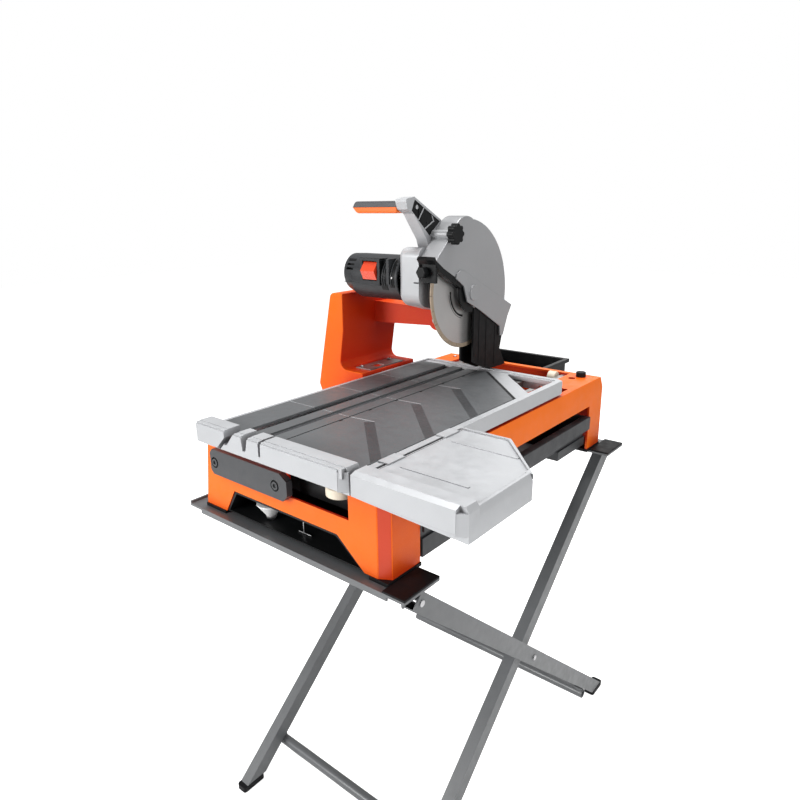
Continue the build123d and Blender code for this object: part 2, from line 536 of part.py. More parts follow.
# belt drive inside the case
MOTOR_PULLEY_R = 15.0
ARBOR_PULLEY_R = 25.0
BELT_X = (-47.0, -37.5)
span = sqrt((BLADE_Y - MOTOR_Y) ** 2 + (BLADE_Z - MOTOR_Z) ** 2)
lean = degrees(atan2(BLADE_Z - MOTOR_Z, BLADE_Y - MOTOR_Y))


def belt_loop(extra):
    """Outline round both pulleys, a distance outside them."""
    with Locations((MOTOR_Y, MOTOR_Z)):
        Circle(MOTOR_PULLEY_R + extra)
    with Locations((BLADE_Y, BLADE_Z)):
        Circle(ARBOR_PULLEY_R + extra)
    wrap = degrees(atan2(sqrt(span**2 - (ARBOR_PULLEY_R - MOTOR_PULLEY_R) ** 2), ARBOR_PULLEY_R - MOTOR_PULLEY_R))
    corners = []
    for sign in (1, -1):
        angle = radians(lean + sign * (180 - wrap))
        small = (MOTOR_Y + (MOTOR_PULLEY_R + extra) * cos(angle), MOTOR_Z + (MOTOR_PULLEY_R + extra) * sin(angle))
        large = (BLADE_Y + (ARBOR_PULLEY_R + extra) * cos(angle), BLADE_Z + (ARBOR_PULLEY_R + extra) * sin(angle))
        corners += [small, large] if sign == 1 else [large, small]
    Polygon(*corners, align=None)


with BuildPart() as drive_belt:
    with BuildSketch(side(BELT_X[0])):
        belt_loop(3.3)
    extrude(amount=BELT_X[1] - BELT_X[0])
    with BuildSketch(side(BELT_X[0] - 1)):
        belt_loop(0.3)
    extrude(amount=BELT_X[1] - BELT_X[0] + 2, mode=Mode.SUBTRACT)
write(drive_belt, "drive_belt")

with BuildPart() as arbor:
    along_x(ARBOR_SIDE + 3.5, 16, BLADE_Y, BLADE_Z, 8)
    along_x(BELT_X[0] + 1, BELT_X[1] - 1, BLADE_Y, BLADE_Z, ARBOR_PULLEY_R)
write(arbor, "arbor")

with BuildPart() as bearings:
    for bearing_x in (ARBOR_SIDE + 3.2, -33.5):
        along_x(bearing_x, bearing_x + 5, BLADE_Y, BLADE_Z, 16)
    along_x(ARBOR_SIDE, CASE_RIGHT, BLADE_Y, BLADE_Z, 8.05, Mode.SUBTRACT)
    along_x(CASE_LEFT, CASE_LEFT + 4, MOTOR_Y, MOTOR_Z, 11)
    along_x(CASE_LEFT - 1, CASE_LEFT + 5, MOTOR_Y, MOTOR_Z, 5.05, Mode.SUBTRACT)
write(bearings, "bearings")

with BuildPart() as blade:
    along_x(-1.0, 1.0, BLADE_Y, BLADE_Z, BLADE_R - 9)
    along_x(-1.3, 1.3, BLADE_Y, BLADE_Z, BLADE_R)
    along_x(-2.0, -1.0, BLADE_Y, BLADE_Z, BLADE_R - 9, Mode.SUBTRACT)
    along_x(1.0, 2.0, BLADE_Y, BLADE_Z, BLADE_R - 9, Mode.SUBTRACT)
    along_x(-2, 2, BLADE_Y, BLADE_Z, 8, Mode.SUBTRACT)
write(blade, "blade")

with BuildPart() as blade_flanges:
    for flange_x0, flange_x1 in ((-7.0, -1.0), (1.0, 7.0)):
        along_x(flange_x0, flange_x1, BLADE_Y, BLADE_Z, 27)
    along_x(-8, 8, BLADE_Y, BLADE_Z, 8, Mode.SUBTRACT)
write(blade_flanges, "blade_flanges")

with BuildPart() as arbor_nut:
    with BuildSketch(side(7)):
        with Locations((BLADE_Y, BLADE_Z)):
            RegularPolygon(13, 6)
    extrude(amount=8)
    along_x(6, 17, BLADE_Y, BLADE_Z, 8, Mode.SUBTRACT)
write(arbor_nut, "arbor_nut")

# ---------------------------------------------------------------- motor
TAIL = 30.0
SWITCH_X = (-178.0, -122.0)
PADDLE_X = (-169.5, -130.5)
PADDLE_Y = 452.0
PADDLE_Z = 242.0
with BuildPart() as motor_housing:
    along_x(MOTOR_END + TAIL, MOTOR_START, MOTOR_Y, MOTOR_Z, MOTOR_R)
    with BuildSketch(side(MOTOR_END + TAIL)):
        with Locations((MOTOR_Y, MOTOR_Z)):
            Circle(MOTOR_R)
    with BuildSketch(side(MOTOR_END)):
        with Locations((MOTOR_Y, MOTOR_Z + 6)):
            Circle(MOTOR_R - 7)
    loft()
    # flange against the gear case, raised switch frame and a rib beside it
    along_x(MOTOR_START - 5, MOTOR_START + 1, MOTOR_Y + 8, MOTOR_Z + 8, MOTOR_R + 3)
    block(*SWITCH_X, MOTOR_Y - MOTOR_R - 4, MOTOR_Y - 20, MOTOR_Z - 14, MOTOR_Z + 43)
    block(-104, -97, MOTOR_Y - MOTOR_R - 2.5, MOTOR_Y - 20, MOTOR_Z - 10, MOTOR_Z + 43)
    along_x(MOTOR_END + 5, MOTOR_START + 2, MOTOR_Y, MOTOR_Z, MOTOR_R - 16, Mode.SUBTRACT)
    along_x(MOTOR_END + TAIL, MOTOR_START + 2, MOTOR_Y, MOTOR_Z, MOTOR_R - 4, Mode.SUBTRACT)
    # vent slots near the tail, front side
    for slot_i in range(3):
        slot_z = MOTOR_Z + 15 + slot_i * 9
        block(MOTOR_END + 8, MOTOR_END + 32, MOTOR_Y - MOTOR_R - 1, MOTOR_Y - 20, slot_z, slot_z + 4.5, Mode.SUBTRACT)
    # window for the switch paddle, with the bores of its trunnions
    block(-171, -129, MOTOR_Y - MOTOR_R - 6, MOTOR_Y - 25, PADDLE_Z - 21, PADDLE_Z + 21, Mode.SUBTRACT)
    along_x(-173, -127, PADDLE_Y, PADDLE_Z, 2.05, Mode.SUBTRACT)
write(motor_housing, "motor_housing")

with BuildPart() as switch_paddle:
    prism(side(PADDLE_X[0]), [(PADDLE_Y - 2, PADDLE_Z + 19), (PADDLE_Y - 15, PADDLE_Z), (PADDLE_Y - 6, PADDLE_Z - 19),
                              (PADDLE_Y + 3, PADDLE_Z - 17), (PADDLE_Y + 5, PADDLE_Z), (PADDLE_Y + 3, PADDLE_Z + 17)],
          PADDLE_X[1] - PADDLE_X[0])
    along_x(-172.5, -127.5, PADDLE_Y, PADDLE_Z, 2)
write(switch_paddle, "switch_paddle")

with BuildPart() as stator:
    along_x(-200, -128, MOTOR_Y, MOTOR_Z, MOTOR_R - 4.5)
    along_x(-201, -127, MOTOR_Y, MOTOR_Z, 25, Mode.SUBTRACT)
    block(-201, -127, MOTOR_Y - 46, MOTOR_Y - 26.5, MOTOR_Z - 8, MOTOR_Z + 43, Mode.SUBTRACT)
write(stator, "stator")

with BuildPart() as armature:
    along_x(MOTOR_END + 8, -35, MOTOR_Y, MOTOR_Z, 5)
    along_x(-198, -130, MOTOR_Y, MOTOR_Z, 23.5)
    along_x(-226, -206, MOTOR_Y, MOTOR_Z, 13)
    along_x(BELT_X[0] + 1, BELT_X[1] - 1, MOTOR_Y, MOTOR_Z, MOTOR_PULLEY_R)
write(armature, "armature")

FAN_BLADES = 11
with BuildPart() as motor_fan:
    along_x(-112, -109, MOTOR_Y, MOTOR_Z, 31)
    along_x(-118, -100, MOTOR_Y, MOTOR_Z, 12)
    with BuildSketch(side(-109)):
        with Locations((MOTOR_Y, MOTOR_Z)):
            with PolarLocations(21.5, FAN_BLADES):
                Rectangle(19, 1.8)
    extrude(amount=8)
    along_x(-119, -99, MOTOR_Y, MOTOR_Z, 5, Mode.SUBTRACT)
write(motor_fan, "motor_fan")

# ---------------------------------------------------------------- guard, handle and knobs
GUARD_LEFT = -22.5
GUARD_RIGHT = 21.0
GUARD_WALL = 2.5
KNOB_Y = 505.0
KNOB_Z = 320.0


def guard_outline():
    """Side view of the blade guard's skin."""
    with BuildLine() as rim:
        ThreePointArc((731, 168), (706, 273), (590, 348))
        ThreePointArc((590, 348), (556, 354), (530, 341))
        Polyline((530, 341), (501, 309), (457, 270), (484, 252), (552, 217), (572, 184), (600, 157), (731, 150), (731, 168))
    make_face(rim.edges())


with BuildPart() as blade_guard:
    with BuildSketch(side(GUARD_LEFT)):
        guard_outline()
    extrude(amount=GUARD_RIGHT - GUARD_LEFT)
    fillet(blade_guard.faces().sort_by(Axis.X)[-1].edges(), 2)
    with BuildSketch(side(GUARD_LEFT + GUARD_WALL)):
        guard_outline()
        offset(amount=-GUARD_WALL)
        # the cavity runs out through the lower edges, where the blade shows
        Polygon((464, 272), (464, 236), (553, 180), (560, 140), (728, 140), (728, 160), (560, 225), align=None)
    extrude(amount=GUARD_RIGHT - GUARD_LEFT - 2 * GUARD_WALL, mode=Mode.SUBTRACT)
    along_x(GUARD_LEFT - 1, GUARD_LEFT + 4, BLADE_Y, BLADE_Z, 12, Mode.SUBTRACT)
    # boss that takes the clamp knob's stud
    along_x(GUARD_LEFT, GUARD_RIGHT, KNOB_Y + 2, KNOB_Z - 1, 9)
write(blade_guard, "blade_guard")

# black lip along the guard's lower front edge, with a bracket below its tip, and a hub shield
with BuildPart() as guard_lip:
    lip_line = [(453, 277), (457, 269.6), (484, 251.6), (552, 216.6), (547, 205), (505, 226), (477, 242), (461, 256),
                (449, 271)]
    prism(side(GUARD_LEFT), lip_line, GUARD_RIGHT - GUARD_LEFT)
    block(-9, 9, 464.5, 560, 190, 270, Mode.SUBTRACT)
    block(-14, 20, 456.5, 463, 224, 262)
    along_x(15.5, 17.9, BLADE_Y, BLADE_Z, 47)
    prism(side(15.5), [(545, 207), (572, 184), (600, 157), (640, 157), (640, 225), (552, 216)], 2.4)
    along_x(15, 19, BLADE_Y, BLADE_Z, 18, Mode.SUBTRACT)
    block(15, 19, 598, 700, 100, 156.9, Mode.SUBTRACT)
write(guard_lip, "guard_lip")

# flat outer arm with a round boss; it carries the splash shield
with BuildPart() as guard_arm:
    arm_face = [(527, 238), (540, 244), (556, 241), (757, 146), (740, 121), (721, 78), (708.6, 78), (706, 101), (611, 154), (568, 174),
                (553, 210), (524, 228)]
    prism(side(GUARD_RIGHT), arm_face, 4)
    along_x(GUARD_RIGHT + 4, GUARD_RIGHT + 8, 590, 192, 17)
    fillet(guard_arm.faces().sort_by(Axis.X)[-1].edges(), 2)
write(guard_arm, "guard_arm")

# rubber splash shield behind the blade: two cheeks and a back
with BuildPart() as splash_shield:
    shield_side = [(601, 155.5), (601, 32), (628, 20), (668, 4), (744, 2), (716, 46), (727, 84), (730, 149)]
    prism(side(-19), shield_side, 39)
    prism(side(-13), [(590, 160), (590, 24), (634, 12), (700, 14), (708, 46), (719, 84), (723, 160)], 27, Mode.SUBTRACT)
write(splash_shield, "splash_shield")

# star knob that clamps the guard
STAR_LOBES = 8
with BuildPart() as guard_knob:
    along_x(GUARD_RIGHT, GUARD_RIGHT + 5, KNOB_Y, KNOB_Z, 10)
    with BuildSketch(side(GUARD_RIGHT + 5)):
        with Locations((KNOB_Y, KNOB_Z)):
            Circle(17.5)
            with PolarLocations(16, STAR_LOBES):
                Circle(5.2)
    extrude(amount=16)
    fillet(guard_knob.faces().sort_by(Axis.X)[-1].edges(), 1.5)
write(guard_knob, "guard_knob")

# handle: cast bracket rising forward from the gear case, with the grip's core; black side panel; two-tone grip
BRACKET_LEFT = -50.0
GRIP_Y = 431.0
GRIP_Z = 374.0
PANEL = [(444, 388), (529, 344), (493, 316), (434, 367)]
with BuildPart() as handle_bracket:
    with BuildSketch(side(BRACKET_LEFT)):
        Polygon((415, 389), (443, 393.5), (534, 346.5), (548, 320), (548, 270), (488, 270), (490, 290), (483, 309),
                (459, 338), (441, 361), (421, 369), align=None)
        fillet(vertices().sort_by(Axis.X)[0:2], 5)
    extrude(amount=GUARD_LEFT - 0.2 - BRACKET_LEFT)
    with BuildSketch(side(BRACKET_LEFT - 1)):
        case_body()
    extrude(amount=GUARD_LEFT + 2 - BRACKET_LEFT, mode=Mode.SUBTRACT)
    along_x(-150, BRACKET_LEFT + 5, GRIP_Y + 4, GRIP_Z, 6.95)
    prism(side(GUARD_LEFT - 3), PANEL, 4, Mode.SUBTRACT)
write(handle_bracket, "handle_bracket")

with BuildPart() as handle_panel:
    prism(side(GUARD_LEFT - 3), PANEL, 2)
    for rib in ([(458, 380), (461, 379), (458, 346), (455, 348)], [(482, 340), (484, 343), (508, 340), (506, 337)]):
        prism(side(GUARD_LEFT - 1), rib, 1)
write(handle_panel, "handle_panel")


def grip_half(z_low, z_high, end_low, end_high):
    """One half of the grip; its left end slopes from end_low to end_high."""
    prism(front(GRIP_Y - 13), [(BRACKET_LEFT, z_low), (BRACKET_LEFT, z_high), (end_high, z_high), (end_low, z_low)], -26)


with BuildPart() as grip_upper:
    grip_half(GRIP_Z, GRIP_Z + 12, -168, -160)
    fillet(grip_upper.faces().sort_by(Axis.Z)[-1].edges(), 5)
    along_x(-150, BRACKET_LEFT + 1, GRIP_Y + 4, GRIP_Z, 6.95, Mode.SUBTRACT)
write(grip_upper, "grip_upper")

with BuildPart() as grip_lower:
    grip_half(GRIP_Z - 12, GRIP_Z, -156, -168)
    fillet(grip_lower.faces().sort_by(Axis.Z)[0].edges(), 5)
    along_x(-150, BRACKET_LEFT + 1, GRIP_Y + 4, GRIP_Z, 6.95, Mode.SUBTRACT)
write(grip_lower, "grip_lower")

# six-sided clamp knob on the lip's bracket, on a short stud
HEX_X = -5.0
HEX_Z = 246.0
with BuildPart() as case_knob:
    with BuildSketch(front(438)):
        with Locations((HEX_X, HEX_Z)):
            RegularPolygon(12, 6)
    extrude(amount=-14)
    fillet(case_knob.faces().sort_by(Axis.Y)[0].edges(), 1.5)
    along_y(452, 456.5, HEX_X, HEX_Z, 5)
write(case_knob, "case_knob")

# ---------------------------------------------------------------- stand
BAR_TOP = SHOE_BOTTOM
BAR_T = 5.0
BAR_LEFT = -317.0
LEG_W = 26.0
OUTER_X = (-301.0, 241.0)
INNER_X = (-269.5, 209.0)
FOOT_H = 14.0
LEG_CUT = FOOT_H - TABLE_HEIGHT
PIVOT_R = 6.0
leg_drop = TABLE_HEIGHT + LEG_TOP_Z - FOOT_H / 2
LEG_ANGLE = atan2(leg_drop, LEG_REAR_Y - LEG_FRONT_Y)
LEG_LENGTH = leg_drop / sin(LEG_ANGLE)
MID_Y = (LEG_FRONT_Y + LEG_REAR_Y) / 2
MID_Z = LEG_TOP_Z - (MID_Y - LEG_FRONT_Y) * leg_drop / (LEG_REAR_Y - LEG_FRONT_Y)


def cross_bar(y0, y1):
    block(BAR_LEFT, BAR_RIGHT, y0, y1, BAR_TOP - BAR_T, BAR_TOP)
    block(BAR_LEFT, BAR_LEFT + 4, y0, y1, BAR_TOP, BAR_TOP + 6)


with BuildPart() as stand_front_bar:
    cross_bar(*FRONT_BAR)
    block(-280, 220, FRONT_BAR[0], FRONT_BAR[0] + 4, BAR_TOP - 12, BAR_TOP)
    # lugs beside the outer legs
    for lug_x in (OUTER_X[0] + LEG_W / 2 + 0.5, OUTER_X[1] - LEG_W / 2 - 4.5):
        block(lug_x, lug_x + 4, LEG_FRONT_Y - 16, LEG_FRONT_Y + 16, LEG_TOP_Z - 14, BAR_TOP - BAR_T)
        along_x(lug_x - 1, lug_x + 5, LEG_FRONT_Y, LEG_TOP_Z, PIVOT_R + 0.05, Mode.SUBTRACT)
write(stand_front_bar, "stand_front_bar")

with BuildPart() as stand_rear_bar:
    cross_bar(*REAR_BAR)
write(stand_rear_bar, "stand_rear_bar")

with BuildPart() as stand_hinge_pins:
    along_x(OUTER_X[0] - LEG_W / 2 - 2, OUTER_X[0] + LEG_W / 2 + 5.5, LEG_FRONT_Y, LEG_TOP_Z, PIVOT_R - 0.02)
    along_x(OUTER_X[1] - LEG_W / 2 - 5.5, OUTER_X[1] + LEG_W / 2 + 2, LEG_FRONT_Y, LEG_TOP_Z, PIVOT_R - 0.02)
write(stand_hinge_pins, "stand_hinge_pins")


def leg_pair(centres, top_y, heading, end_gap):
    """Two box-section legs from their top pivot down to the feet; heading is +1 rearward, -1 forward."""
    down = (0, heading * cos(LEG_ANGLE), -sin(LEG_ANGLE))
    start_y = top_y - end_gap * down[1]
    start_z = LEG_TOP_Z - end_gap * down[2]
    for centre in centres:
        with BuildSketch(Plane(origin=(centre, start_y, start_z), x_dir=(1, 0, 0), z_dir=down)) as section:
            Rectangle(LEG_W, LEG_DEPTH)
            Rectangle(LEG_W - 5, LEG_DEPTH - 5, mode=Mode.SUBTRACT)
        extrude(section.sketch, amount=LEG_LENGTH + end_gap + 40)
    block(-400, 400, -100, 1200, LEG_CUT - 80, LEG_CUT, Mode.SUBTRACT)
    block(-400, 400, -100, 1200, BAR_TOP - BAR_T - 0.5, BAR_TOP + 60, Mode.SUBTRACT)


def leg_tube(centres, heading):
    """Cross tube welded under the two legs, near their feet."""
    reach = 432.0
    below = LEG_DEPTH / 2 + 12.5
    y = MID_Y + heading * (reach * cos(LEG_ANGLE) - below * sin(LEG_ANGLE))
    z = MID_Z - reach * sin(LEG_ANGLE) - below * cos(LEG_ANGLE)
    x0 = centres[0] - LEG_W / 2
    x1 = centres[1] + LEG_W / 2
    along_x(x0, x1, y, z, 12)
    for tab_x in (x0, x1 - LEG_W):
        block(tab_x + 2, tab_x + LEG_W - 2, y - 6, y + 6, z, z + 17)
    along_x(x0 - 1, x1 + 1, y, z, 10, Mode.SUBTRACT)


def foot_pair(centres, foot_y):
    for centre in centres:
        block(centre - 14, centre + 14, foot_y - 30, foot_y + 30, -TABLE_HEIGHT, LEG_CUT)
    fillet(edges().filter_by(Axis.Z), 6)


with BuildPart() as outer_leg_frame:
    leg_pair(OUTER_X, LEG_FRONT_Y, 1, LEG_END_GAP)
    leg_tube(OUTER_X, 1)
    along_x(-400, 400, LEG_FRONT_Y, LEG_TOP_Z, PIVOT_R, Mode.SUBTRACT)
    along_x(-400, 400, MID_Y, MID_Z, PIVOT_R, Mode.SUBTRACT)
write(outer_leg_frame, "outer_leg_frame")

with BuildPart() as inner_leg_frame:
    leg_pair(INNER_X, LEG_REAR_Y, -1, LEG_END_GAP)
    leg_tube(INNER_X, -1)
    along_x(-400, 400, MID_Y, MID_Z, PIVOT_R + 0.05, Mode.SUBTRACT)
write(inner_leg_frame, "inner_leg_frame")

with BuildPart() as leg_pivot_bolts:
    along_x(OUTER_X[0] - LEG_W / 2 - 3, INNER_X[0] + LEG_W / 2 + 3, MID_Y, MID_Z, PIVOT_R - 0.02)
    along_x(INNER_X[1] - LEG_W / 2 - 3, OUTER_X[1] + LEG_W / 2 + 3, MID_Y, MID_Z, PIVOT_R - 0.02)
write(leg_pivot_bolts, "leg_pivot_bolts")

with BuildPart() as outer_feet:
    foot_pair(OUTER_X, LEG_REAR_Y)
write(outer_feet, "outer_feet")

with BuildPart() as inner_feet:
    foot_pair(INNER_X, LEG_FRONT_Y)
write(inner_feet, "inner_feet")
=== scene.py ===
import json
from math import cos, pi, radians, sin

import bmesh
import bpy
from mathutils import Matrix, Vector


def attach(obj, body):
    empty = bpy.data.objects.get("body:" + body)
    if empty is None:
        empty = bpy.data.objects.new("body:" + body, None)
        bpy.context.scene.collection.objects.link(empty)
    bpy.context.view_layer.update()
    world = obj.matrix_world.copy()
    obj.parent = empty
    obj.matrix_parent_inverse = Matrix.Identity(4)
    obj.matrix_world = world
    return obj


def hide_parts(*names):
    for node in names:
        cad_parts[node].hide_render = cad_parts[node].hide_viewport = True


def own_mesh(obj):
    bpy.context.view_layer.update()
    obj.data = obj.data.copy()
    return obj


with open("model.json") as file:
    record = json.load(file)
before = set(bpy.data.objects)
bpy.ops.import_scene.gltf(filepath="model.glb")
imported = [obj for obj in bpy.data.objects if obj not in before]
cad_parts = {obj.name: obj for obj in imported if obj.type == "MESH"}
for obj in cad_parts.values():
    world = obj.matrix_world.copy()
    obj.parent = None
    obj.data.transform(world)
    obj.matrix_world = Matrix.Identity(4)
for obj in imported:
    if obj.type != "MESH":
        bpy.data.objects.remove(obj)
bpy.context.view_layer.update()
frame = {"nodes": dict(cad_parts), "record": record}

# Looks of the portable tile saw. Lengths are metres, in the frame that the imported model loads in.
MM = 0.001
# The design's datum: blade plane, fence face and mat tops.
DATUM = Vector((-0.037, -0.531, 0.960))


def at(x, y, z):
    """A point given in millimetres from the design's datum."""
    return DATUM + Vector((x, y, z)) * MM


# ---------------------------------------------------------------- materials
class Nodes:
    """A material's node tree, with short ways to add what the finishes share."""

    def __init__(self, name):
        self.material = bpy.data.materials.new(name)
        self.material.use_nodes = True
        self.tree = self.material.node_tree
        self.shader = self.tree.nodes["Principled BSDF"]
        self.place = self.tree.nodes.new("ShaderNodeTexCoord").outputs["Object"]

    def add(self, kind, **settings):
        node = self.tree.nodes.new(kind)
        for key, value in settings.items():
            setattr(node, key, value)
        return node

    def link(self, source, target):
        self.tree.links.new(source, target)

    def stretched(self, scale):
        node = self.add("ShaderNodeMapping")
        node.inputs["Scale"].default_value = scale
        self.link(self.place, node.inputs["Vector"])
        return node.outputs["Vector"]

    def noise(self, scale, detail=3.0, place=None, roughness=0.5):
        node = self.add("ShaderNodeTexNoise")
        node.inputs["Scale"].default_value = scale
        node.inputs["Detail"].default_value = detail
        node.inputs["Roughness"].default_value = roughness
        self.link(place or self.place, node.inputs["Vector"])
        return node.outputs["Fac"]

    def spread(self, value, low, high, from_low=0.3, from_high=0.7):
        node = self.add("ShaderNodeMapRange")
        node.inputs["From Min"].default_value = from_low
        node.inputs["From Max"].default_value = from_high
        node.inputs["To Min"].default_value = low
        node.inputs["To Max"].default_value = high
        self.link(value, node.inputs["Value"])
        return node.outputs["Result"]

    def mix(self, factor, first, second):
        node = self.add("ShaderNodeMix", data_type="RGBA")
        self.link(factor, node.inputs["Factor"])
        for socket, value in ((node.inputs["A"], first), (node.inputs["B"], second)):
            if isinstance(value, tuple):
                socket.default_value = (*value, 1.0)
            else:
                self.link(value, socket)
        return node.outputs["Result"]

    def painted_shade_mask(self, reach):
        """1 in the open, falling in corners and recesses; the mask where shade is painted."""
        node = self.add("ShaderNodeAmbientOcclusion")
        node.samples = 6
        node.inputs["Distance"].default_value = reach
        return node.outputs["AO"]

    def bump(self, height, distance, strength=1.0):
        node = self.add("ShaderNodeBump")
        node.inputs["Distance"].default_value = distance
        node.inputs["Strength"].default_value = strength
        self.link(height, node.inputs["Height"])
        return node.outputs["Normal"]


def tinted(colour, factor):
    return tuple(min(1.0, c * factor) for c in colour)


def finish(name, colour, roughness, metal=0.0, tone=0.08, tone_scale=9.0, grain=700.0, grain_height=0.00004,
           coat=0.0, marks=0.0, painted_shade=None, reach=0.12, specular=0.5, painted_shade_range=(0.35, 0.85)):
    """A moulded, cast or painted surface: soft tone changes, fine grain in the relief, rubbed marks if marks
    is given, and painted shade, a darker colour in corners and recesses, if painted_shade is given."""
    m = Nodes(name)
    cloud = m.spread(m.noise(tone_scale, 4.0), 0.0, 1.0)
    speck = m.spread(m.noise(tone_scale * 45, 2.0), 0.0, 1.0, 0.35, 0.65)
    base = m.mix(cloud, tinted(colour, 1.0 - tone), tinted(colour, 1.0 + tone))
    base = m.mix(m.spread(speck, 0.0, 0.25, 0.0, 1.0), base, tinted(colour, 1.0 - 1.5 * tone))
    rough = m.spread(m.noise(tone_scale * 6, 3.0), roughness - 0.06, min(1.0, roughness + 0.08))
    if marks:
        scuff = m.noise(30.0, 6.0, m.stretched((1.0, 9.0, 3.0)), 0.7)
        scuff = m.spread(scuff, 0.0, marks, 0.60, 0.72)
        base = m.mix(scuff, base, tinted(colour, 1.6))
    if painted_shade:
        # painted shade: where ambient occlusion is low, in corners and recesses, the base colour is mixed
        # towards the given shade colour
        base = m.mix(m.spread(m.painted_shade_mask(reach), 1.0, 0.0, *painted_shade_range), base, painted_shade)
    m.link(base, m.shader.inputs["Base Color"])
    m.link(rough, m.shader.inputs["Roughness"])
    m.shader.inputs["Metallic"].default_value = metal
    m.shader.inputs["Coat Weight"].default_value = coat
    m.shader.inputs["Specular IOR Level"].default_value = specular
    m.shader.inputs["Coat Roughness"].default_value = 0.25
    m.link(m.bump(m.noise(grain, 3.0), grain_height), m.shader.inputs["Normal"])
    return m.material


def brushed(name, colour, roughness, direction):
    """Metal with fine lines along one direction."""
    m = Nodes(name)
    stretch = tuple(12.0 if d else 900.0 for d in direction)
    lines = m.noise(1.0, 4.0, m.stretched(stretch), 0.65)
    cloud = m.noise(11.0, 3.0)
    base = m.mix(m.spread(lines, 0.0, 1.0), tinted(colour, 0.82), tinted(colour, 1.12))
    base = m.mix(m.spread(cloud, 0.0, 0.35), base, tinted(colour, 0.75))
    m.link(base, m.shader.inputs["Base Color"])
    m.link(m.spread(lines, roughness - 0.08, roughness + 0.12), m.shader.inputs["Roughness"])
    m.shader.inputs["Metallic"].default_value = 1.0
    m.link(m.bump(lines, 0.00002, 0.6), m.shader.inputs["Normal"])
    return m.material


def spun(name, colour, centre):
    """Ground steel disc: fine rings round the arbor's axis, and soft streaks."""
    m = Nodes(name)
    shift = m.add("ShaderNodeMapping")
    shift.inputs["Location"].default_value = tuple(-c for c in centre)
    m.link(m.place, shift.inputs["Vector"])
    split = m.add("ShaderNodeSeparateXYZ")
    m.link(shift.outputs["Vector"], split.inputs["Vector"])
    flat = m.add("ShaderNodeCombineXYZ")
    m.link(split.outputs["Y"], flat.inputs["X"])
    m.link(split.outputs["Z"], flat.inputs["Y"])
    length = m.add("ShaderNodeVectorMath", operation="LENGTH")
    m.link(flat.outputs["Vector"], length.inputs[0])
    rings = m.add("ShaderNodeTexNoise", noise_dimensions="1D")
    rings.inputs["Scale"].default_value = 900.0
    rings.inputs["Detail"].default_value = 4.0
    m.link(length.outputs["Value"], rings.inputs["W"])
    cloud = m.noise(14.0, 4.0)
    base = m.mix(m.spread(rings.outputs["Fac"], 0.0, 1.0), tinted(colour, 0.86), tinted(colour, 1.08))
    base = m.mix(m.spread(cloud, 0.0, 0.3), base, tinted(colour, 0.7))
    m.link(base, m.shader.inputs["Base Color"])
    m.link(m.spread(rings.outputs["Fac"], 0.30, 0.44), m.shader.inputs["Roughness"])
    m.shader.inputs["Metallic"].default_value = 0.75
    m.link(m.bump(rings.outputs["Fac"], 0.00002, 0.5), m.shader.inputs["Normal"])
    return m.material


# The blade's axis, as (y, z).
HUB = (592.0, 195.6)
ORANGE = (0.90, 0.165, 0.003)
# painted shade: the deep red that the orange paint turns to in corners and recesses
PAINTED_SHADE_RED = (0.62, 0.022, 0.002)
finishes = {
    # the orange paint has painted shade, deep red where ambient occlusion is low
    "orange_paint": finish("orange_powder_coat", ORANGE, 0.42, tone=0.04, grain=900, grain_height=0.00003,
                           specular=0.25, marks=0.04, painted_shade=PAINTED_SHADE_RED, reach=0.30, painted_shade_range=(0.45, 0.95)),
    "black_rubber": finish("black_rubber", (0.008, 0.008, 0.009), 0.50, tone=0.2, grain=1200,
                           grain_height=0.00005, specular=0.16),
    "grey_rubber": finish("grey_rubber", (0.105, 0.11, 0.115), 0.42, tone=0.10, grain=1500,
                          grain_height=0.00004, marks=0.10),
    "black_plastic": finish("black_plastic", (0.007, 0.0075, 0.008), 0.36, tone=0.2, grain=1400,
                            grain_height=0.00003, specular=0.22),
    "dark_plastic": finish("dark_plastic", (0.030, 0.032, 0.035), 0.36, tone=0.12, grain=1500,
                           grain_height=0.00003, specular=0.4),
    # the red rocker gets painted shade, a darker red in its corners and recesses
    "red_plastic": finish("red_plastic", (0.86, 0.070, 0.016), 0.25, tone=0.04, grain=500,
                          grain_height=0.00001, coat=0.5, painted_shade=(0.45, 0.01, 0.004), reach=0.03),
    "nylon": finish("cream_nylon", (0.80, 0.72, 0.58), 0.45, tone=0.06, grain=800),
    "zinc_steel": brushed("zinc_steel", (0.46, 0.45, 0.44), 0.36, (0, 1, 0)),
    "steel": brushed("turned_steel", (0.60, 0.60, 0.61), 0.30, (1, 0, 0)),
    "laminated_steel": brushed("laminated_steel", (0.20, 0.17, 0.14), 0.45, (0, 1, 1)),
    "blade_steel": spun("blade_steel", (0.62, 0.61, 0.60), at(0, *HUB)),
    "black_paint": finish("dark_grey_paint", (0.050, 0.052, 0.056), 0.42, tone=0.1, grain=1000),
    # the aluminium gets painted shade, a darker grey in corners and recesses
    "cast_aluminium": finish("satin_aluminium", (0.50, 0.51, 0.525), 0.40, metal=0.25, tone=0.04, grain=1300,
                             grain_height=0.00003, painted_shade=(0.24, 0.24, 0.25), reach=0.05),
    "guard_grey": finish("satin_grey_paint", (0.36, 0.365, 0.375), 0.34, metal=0.25, tone=0.04, grain=1100,
                         coat=0.3),
    "grip_grey": finish("soft_dark_grip", (0.07, 0.072, 0.078), 0.50, tone=0.1, grain=1500,
                        grain_height=0.00006),
    "grip_orange": finish("soft_orange_grip", (0.93, 0.16, 0.008), 0.42, tone=0.05, grain=1500,
                          grain_height=0.00006),
    "stand_grey": finish("stand_grey_paint", (0.125, 0.13, 0.135), 0.38, tone=0.08, grain=900, coat=0.2,
                         marks=0.08),
}
